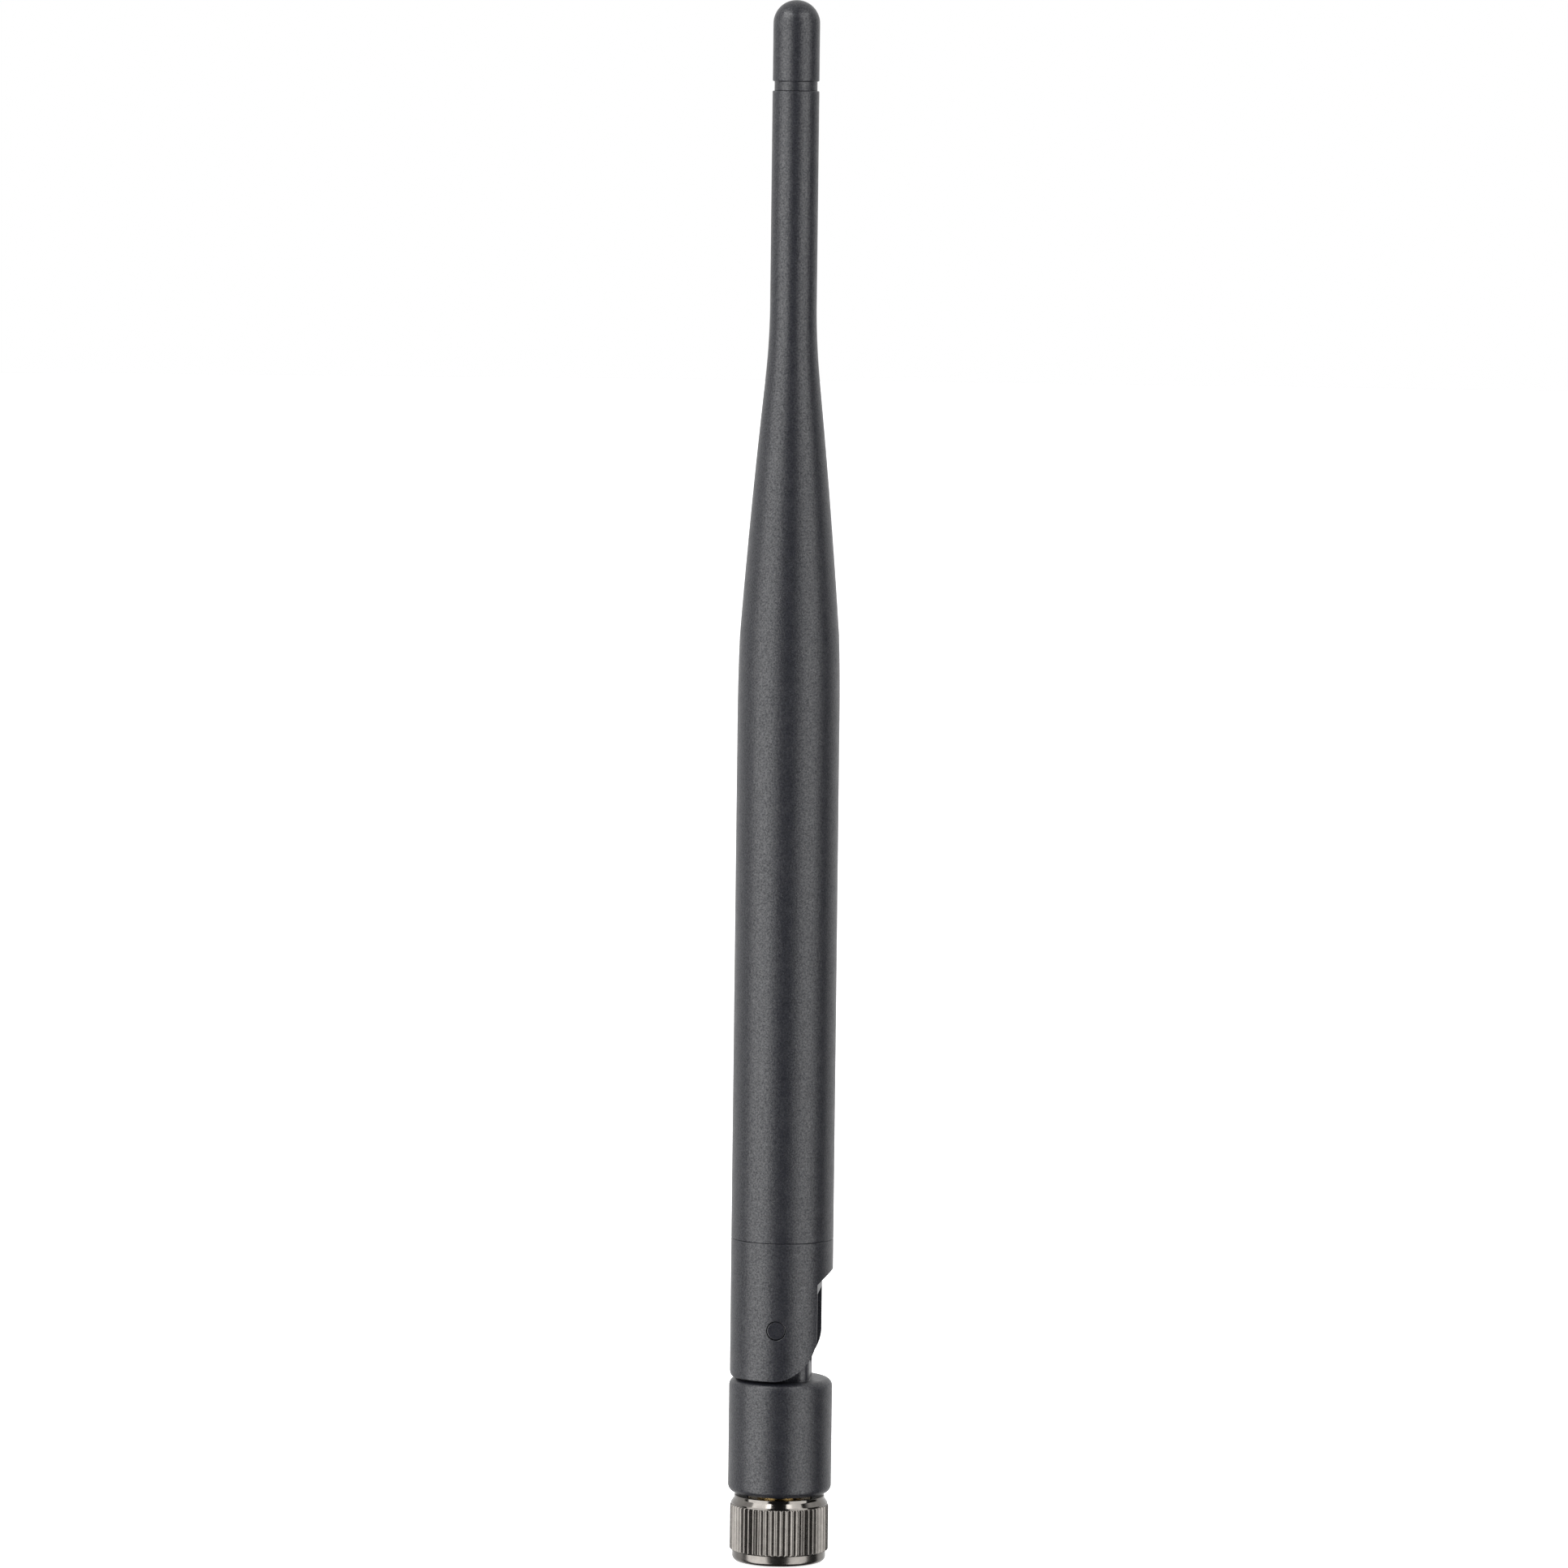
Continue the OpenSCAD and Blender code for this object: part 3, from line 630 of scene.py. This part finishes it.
def base_housing():
    """Round base with its tongue, hollow from below, with a channel for the cable."""
    shell = rounded([
        (0, BASE_BOTTOM + 4, 0), (BASE_BORE_R, BASE_BOTTOM + 4, 0),
        (BASE_BORE_R, BASE_RECESS_TOP, 0.06), (BASE_RECESS_R, BASE_RECESS_TOP, 0.06),
        (BASE_RECESS_R, BASE_BOTTOM, 0.15), (BASE_R, BASE_BOTTOM, BASE_EDGE_R),
        (BASE_R, BASE_TOP, BASE_EDGE_R), (0, BASE_TOP, 0),
    ])
    obj = turned("base_skin", laddered(shell), steps=SEGMENTS)
    combine(obj, base_tongue(), "UNION")
    inside = rounded([
        (0, 10.95, 0), (BASE_INSIDE_R, 10.95, 0.2), (BASE_INSIDE_R, 20.6, 0.4), (0, 20.6, 0),
    ])
    combine(obj, turned("inside", inside, steps=96), "DIFFERENCE")
    cable_hole = [(0, 20), (CABLE_HOLE_R, 20), (CABLE_HOLE_R, 26), (0, 26)]
    combine(obj, turned("cable_hole", cable_hole, steps=48), "DIFFERENCE")
    far = PIVOT_X + 2 * TONGUE_R
    channel = [
        (CHANNEL_LEFT, -CHANNEL_HALF_W), (far, -CHANNEL_HALF_W), (far, CHANNEL_HALF_W),
        (CHANNEL_LEFT, CHANNEL_HALF_W),
    ]
    combine(obj, prism("channel", channel, CHANNEL_FLOOR, BASE_HIGH[2] + 1), "DIFFERENCE")
    return finished(obj, "base", "housing_plastic", "base_housing", sharp=CUT_ANGLE)


def hinge_pin(name, node, side):
    """Round pin whose outer end shows in a cheek; side is -1 at the front and 1 at the rear."""
    low, high = box_mm(node)
    length = high[1] - low[1]
    outline = rounded([(0, 0, 0), (PIN_R, 0, 0.13), (PIN_R, length, 0.1), (0, length, 0)])
    obj = turned(name, outline, steps=64)
    outer = low[1] if side < 0 else high[1]
    tip = Matrix.Rotation(math.radians(90 * side), 4, "X")
    obj.data.transform(Matrix.Translation((PIVOT_X, outer, PIVOT_Z)) @ tip)
    return finished(obj, "base", "pin_plastic", node)


# ------------------------------------------------------------------ yoke

FLAT_X = 4.77
YOKE_ARC_R = 5.6
YOKE_SEGMENTS = 176
YOKE_EDGE_R = 0.9
BEVEL_LOW = PIVOT_Z + 5.6
BEVEL_HIGH = PIVOT_Z + 7.13
SLOT_HALF_W = 3.92
SLOT_LEFT = -4.55
SLOT_CORNER_R = 0.3
SLOT_TOP = PIVOT_Z + 4.4
PIN_HOLE_R = PIN_R + 0.07
PIN_HOLE_CHAMFER = 0.05
SPIGOT_R = 4.95
YOKE_BORE_R = 3.6


def yoke():
    """Hinge fork: closed on -X, cut back on +X, with a slot for the tongue and two pin holes."""
    body = rounded([
        (0, YOKE_BOTTOM, 0), (YOKE_R, YOKE_BOTTOM, 0.14), (YOKE_R, SEAM, 0.2),
        (SPIGOT_R, SEAM, 0.05), (SPIGOT_R, YOKE_HIGH[2], 0.4), (0, YOKE_HIGH[2], 0),
    ])
    obj = turned("yoke_skin", laddered(body), steps=YOKE_SEGMENTS)
    wide = YOKE_R + 1
    side = rounded([
        (-wide, YOKE_BOTTOM - 1, 0), (-YOKE_R, YOKE_BOTTOM - 1, 0), (-YOKE_R, YOKE_BOTTOM, 0),
        (FLAT_X, YOKE_BOTTOM, YOKE_ARC_R), (FLAT_X, BEVEL_LOW, 0.3),
        (YOKE_R, BEVEL_HIGH, 0), (wide, BEVEL_HIGH + 0.94, 0), (wide, YOKE_HIGH[2] + 1, 0),
        (-wide, YOKE_HIGH[2] + 1, 0),
    ])
    side = [p for p in side if p[1] > YOKE_BOTTOM - 0.5 or p[0] > 0]
    centre = (-YOKE_R + YOKE_EDGE_R, YOKE_BOTTOM + YOKE_EDGE_R)
    corner = arc(centre, YOKE_EDGE_R, math.pi, math.pi / 2)
    side = [(-wide, YOKE_BOTTOM + YOKE_EDGE_R)] + corner + side[1:]
    combine(obj, prism("side", side, -wide, wide, "Y"), "INTERSECT")
    slot = rounded([
        (SLOT_LEFT, -SLOT_HALF_W, SLOT_CORNER_R), (2 * YOKE_R, -SLOT_HALF_W, 0),
        (2 * YOKE_R, SLOT_HALF_W, 0), (SLOT_LEFT, SLOT_HALF_W, SLOT_CORNER_R),
    ])
    combine(obj, prism("slot", slot, YOKE_BOTTOM - 1, SLOT_TOP), "DIFFERENCE")
    wall = YOKE_R - SLOT_HALF_W + 0.6
    hole = [
        (0, -0.3), (PIN_HOLE_R + PIN_HOLE_CHAMFER + 0.3, -0.3), (PIN_HOLE_R, PIN_HOLE_CHAMFER),
        (PIN_HOLE_R, wall), (0, wall),
    ]
    for turn in (-90, 90):
        tool = turned("hole", hole, steps=64)
        spin = Matrix.Rotation(math.radians(turn), 4, "X")
        outer = -YOKE_R if turn < 0 else YOKE_R
        tool.data.transform(Matrix.Translation((PIVOT_X, outer, PIVOT_Z)) @ spin)
        combine(obj, tool, "DIFFERENCE")
    bore = [
        (0, SLOT_TOP - 1), (CABLE_HOLE_R, SLOT_TOP - 1), (CABLE_HOLE_R, 43), (YOKE_BORE_R, 43),
        (YOKE_BORE_R, 60), (0, 60),
    ]
    combine(obj, turned("bore", bore, steps=64), "DIFFERENCE")
    return finished(obj, "mast", "housing_plastic", "yoke", sharp=CUT_ANGLE)


# ------------------------------------------------------------------ radome and cap

TAPER_TOP = 157.5
FLANK_TOP = TAPER_TOP - 9.5
CREASE = TAPER_TOP - 41.2
CROWN_LOW = CREASE - 10
FLANK_SLOPE = 0.104
FLANK_BEND = 0.000509
CROWN_SLOPE = 0.036
SKIN_STEP = 0.75
TUBE_BORE_R = 5.0
ROD_BORE_R = 1.9
CAP_NECK_R = 2.66
CAP_PLUG_R = 1.87


def foot_radius(z):
    return ROD_R + FLANK_SLOPE / (2 * (TAPER_TOP - FLANK_TOP)) * (TAPER_TOP - z) ** 2


def flank_radius(z):
    down = FLANK_TOP - z
    return foot_radius(FLANK_TOP) + FLANK_SLOPE * down - FLANK_BEND * down ** 2


def crown_radius(z):
    down = CREASE - z
    bend = CROWN_SLOPE / (2 * (CREASE - CROWN_LOW))
    return flank_radius(CREASE) + CROWN_SLOPE * down - bend * down ** 2


def span(radius, low, high):
    """Points of one stretch of the taper, from low to just under high."""
    steps = math.ceil((high - low) / SKIN_STEP)
    levels = [low + (high - low) * k / steps for k in range(steps)]
    return [(radius(z), z) for z in levels]


def radome():
    """Tapered tube: near-cylinder, a faint crease, a long taper, then the thin rod."""
    seam_r = RADOME_HIGH[0]
    bottom = rounded([
        (TUBE_BORE_R, SEAM + 8, 0), (TUBE_BORE_R, SEAM, 0.25), (seam_r, SEAM, 0.05),
        (seam_r, SEAM + 8, 0),
    ])
    rod = rounded([
        (ROD_R, RADOME_TOP - 8, 0), (ROD_R, RADOME_TOP, 0.15), (ROD_BORE_R, RADOME_TOP, 0.12),
        (ROD_BORE_R, 150, 0),
    ])
    outline = bottom[1:-1]
    outline += span(crown_radius, CROWN_LOW, CREASE)
    outline += span(flank_radius, CREASE, FLANK_TOP)
    outline += span(foot_radius, FLANK_TOP, TAPER_TOP)
    outline += [(ROD_R, TAPER_TOP), (ROD_R, TAPER_TOP + 0.7)] + rod[1:] + [(TUBE_BORE_R, 104)]
    obj = turned("radome_skin", outline, closed=True)
    return finished(obj, "mast", "housing_plastic", "radome")


def tip_cap():
    """Domed cap on a narrower neck, with the plug that holds it in the tube."""
    rim = RADOME_TOP + 1.17
    cap_r = CAP_HIGH[0]
    shoulder = TIP - cap_r
    outline = rounded([
        (0.75, rim + 1, 0), (0.75, CAP_LOW[2], 0.1), (CAP_PLUG_R, CAP_LOW[2], 0.3),
        (CAP_PLUG_R, RADOME_TOP, 0.05), (CAP_NECK_R, RADOME_TOP, 0.05), (CAP_NECK_R, rim, 0.08),
        (cap_r, rim, 0.16), (cap_r, shoulder, 0),
    ])
    dome = arc((0, shoulder), cap_r, 0, math.pi / 2)
    outline = [(0, rim + 1)] + outline[:-1] + dome[:-1] + [(0, TIP)]
    obj = turned("tip_cap_skin", outline)
    return finished(obj, "mast", "housing_plastic", "tip_cap")


# ------------------------------------------------------------------ cable


def flexible_cable():
    """The stretch of coax that bends at the hinge, with many rings so that it bends smoothly."""
    radius = FLEX_HIGH[0]
    low, high = FLEX_LOW[2], FLEX_HIGH[2]
    rings = 60
    side = [(radius, low + 0.05 + (high - low - 0.1) * k / rings) for k in range(rings + 1)]
    outline = [(0, low), (radius - 0.05, low)] + side + [(radius - 0.05, high), (0, high)]
    obj = turned("coax_bend", outline, steps=32)
    finished(obj, None, "coax_jacket", "coax_flex")
    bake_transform(obj)
    return obj


# ------------------------------------------------------------------ make the object

coupling_nut()
connector_shell()
centre_contact()
insulator()
base_housing()
hinge_pin("pin_front", "hinge_pin_front", -1)
hinge_pin("pin_rear", "hinge_pin_rear", 1)
yoke()
radome()
tip_cap()
flexible_cable()

# ------------------------------------------------------------------ studio, in metres

CAMERA_AZIMUTH = math.radians(4.1)
CAMERA_ELEVATION = math.radians(4.8)
CAMERA_DISTANCE = 1.0718
CAMERA_LENS = 197.5
CAMERA_ROLL = math.radians(0.68)
CAMERA_AIM = Vector((-0.00047, 0.0, 0.0977))
SOFTBOX_DISTANCE = 0.25
SOFTBOX_BOTTOM = -0.3
SOFTBOX_SPLIT = 0.37
SOFTBOX_TOP = 0.5
LEFT_AZIMUTH = -56
LEFT_WIDTH = 0.265
RIGHT_AZIMUTH = 49
RIGHT_WIDTH = 0.215
ROOM_STRENGTH = 0.03


def direction(azimuth, elevation=0.0):
    """Unit vector from the object towards an azimuth measured from the camera's side."""
    turn = CAMERA_AZIMUTH + azimuth
    return Vector((
        math.sin(turn) * math.cos(elevation), -math.cos(turn) * math.cos(elevation),
        math.sin(elevation),
    ))


def looking(obj, at):
    """Turns a camera or lamp towards a point."""
    obj.rotation_euler = (at - obj.location).to_track_quat("-Z", "Y").to_euler()


def add_camera():
    data = bpy.data.cameras.new("camera")
    data.lens = CAMERA_LENS
    data.clip_start = 0.01
    data.clip_end = 50
    obj = bpy.data.objects.new("camera", data)
    bpy.context.scene.collection.objects.link(obj)
    obj.location = CAMERA_AIM + direction(0, CAMERA_ELEVATION) * CAMERA_DISTANCE
    sight = (CAMERA_AIM - obj.location).to_track_quat("-Z", "Y").to_matrix().to_4x4()
    obj.rotation_euler = (sight @ Matrix.Rotation(CAMERA_ROLL, 4, "Z")).to_euler()
    bpy.context.scene.camera = obj


def softbox(name, azimuth_deg, width, low, high, radiance):
    """An upright area lamp that faces the object, between two heights."""
    data = bpy.data.lights.new(name, "AREA")
    data.shape = "RECTANGLE"
    data.size = width
    data.size_y = high - low
    data.energy = radiance * math.pi * width * (high - low)
    obj = bpy.data.objects.new(name, data)
    bpy.context.scene.collection.objects.link(obj)
    level = Vector((0, 0, (low + high) / 2))
    obj.location = level + direction(math.radians(azimuth_deg)) * SOFTBOX_DISTANCE
    looking(obj, level)
    obj.visible_camera = False


def studio_floor():
    """Wide pale disc that the antenna stands on; from below it is clear."""
    bm = bmesh.new()
    bmesh.ops.create_circle(bm, cap_ends=True, radius=4.0, segments=96)
    obj = make_object("floor", bm)
    obj.location.z = -0.0002
    recipe = Recipe("floor")
    recipe.shader.inputs["Base Color"].default_value = (0.9, 0.9, 0.9, 1)
    recipe.shader.inputs["Roughness"].default_value = 0.9
    recipe.shader.inputs["Emission Color"].default_value = (1, 1, 1, 1)
    recipe.shader.inputs["Emission Strength"].default_value = 0.8
    side = recipe.tree.nodes.new("ShaderNodeNewGeometry")
    clear = recipe.tree.nodes.new("ShaderNodeBsdfTransparent")
    mix = recipe.tree.nodes.new("ShaderNodeMixShader")
    recipe.link(side.outputs["Backfacing"], mix.inputs[0])
    recipe.link(recipe.shader.outputs["BSDF"], mix.inputs[1])
    recipe.link(clear.outputs["BSDF"], mix.inputs[2])
    recipe.link(mix.outputs["Shader"], recipe.tree.nodes["Material Output"].inputs["Surface"])
    obj.data.materials.append(recipe.material)
    obj.visible_glossy = False
    obj.visible_diffuse = False
    obj.visible_shadow = False


def surroundings():
    """White to the camera; to the object, white behind it and a dim room in front."""
    world = bpy.data.worlds.new("studio")
    world.use_nodes = True
    bpy.context.scene.world = world
    tree = world.node_tree
    place = tree.nodes.new("ShaderNodeTexCoord")
    facing = tree.nodes.new("ShaderNodeVectorMath")
    facing.operation = "DOT_PRODUCT"
    facing.inputs[1].default_value = direction(math.radians(6), math.radians(-23))
    tree.links.new(place.outputs["Generated"], facing.inputs[0])
    ramp = tree.nodes.new("ShaderNodeMapRange")
    ramp.inputs["From Min"].default_value = -0.24
    ramp.inputs["From Max"].default_value = -0.12
    ramp.inputs["To Min"].default_value = 1.0
    ramp.inputs["To Max"].default_value = ROOM_STRENGTH
    tree.links.new(facing.outputs["Value"], ramp.inputs["Value"])
    room = tree.nodes["Background"]
    tree.links.new(ramp.outputs["Result"], room.inputs["Strength"])
    room.inputs["Color"].default_value = (1, 1, 1, 1)
    white = tree.nodes.new("ShaderNodeBackground")
    white.inputs["Color"].default_value = (1, 1, 1, 1)
    white.inputs["Strength"].default_value = 1.0
    rays = tree.nodes.new("ShaderNodeLightPath")
    mix = tree.nodes.new("ShaderNodeMixShader")
    tree.links.new(rays.outputs["Is Camera Ray"], mix.inputs["Fac"])
    tree.links.new(room.outputs["Background"], mix.inputs[1])
    tree.links.new(white.outputs["Background"], mix.inputs[2])
    tree.links.new(mix.outputs["Shader"], tree.nodes["World Output"].inputs["Surface"])


add_camera()
softbox("left_low", LEFT_AZIMUTH, LEFT_WIDTH, SOFTBOX_BOTTOM, SOFTBOX_SPLIT, 3.45)
softbox("left_high", LEFT_AZIMUTH, LEFT_WIDTH, SOFTBOX_SPLIT, SOFTBOX_TOP, 8.5)
softbox("right_low", RIGHT_AZIMUTH, RIGHT_WIDTH, SOFTBOX_BOTTOM, SOFTBOX_SPLIT, 2.8)
softbox("right_high", RIGHT_AZIMUTH, RIGHT_WIDTH, SOFTBOX_SPLIT, SOFTBOX_TOP, 6.5)
studio_floor()
surroundings()
bpy.context.scene.view_settings.view_transform = "Standard"
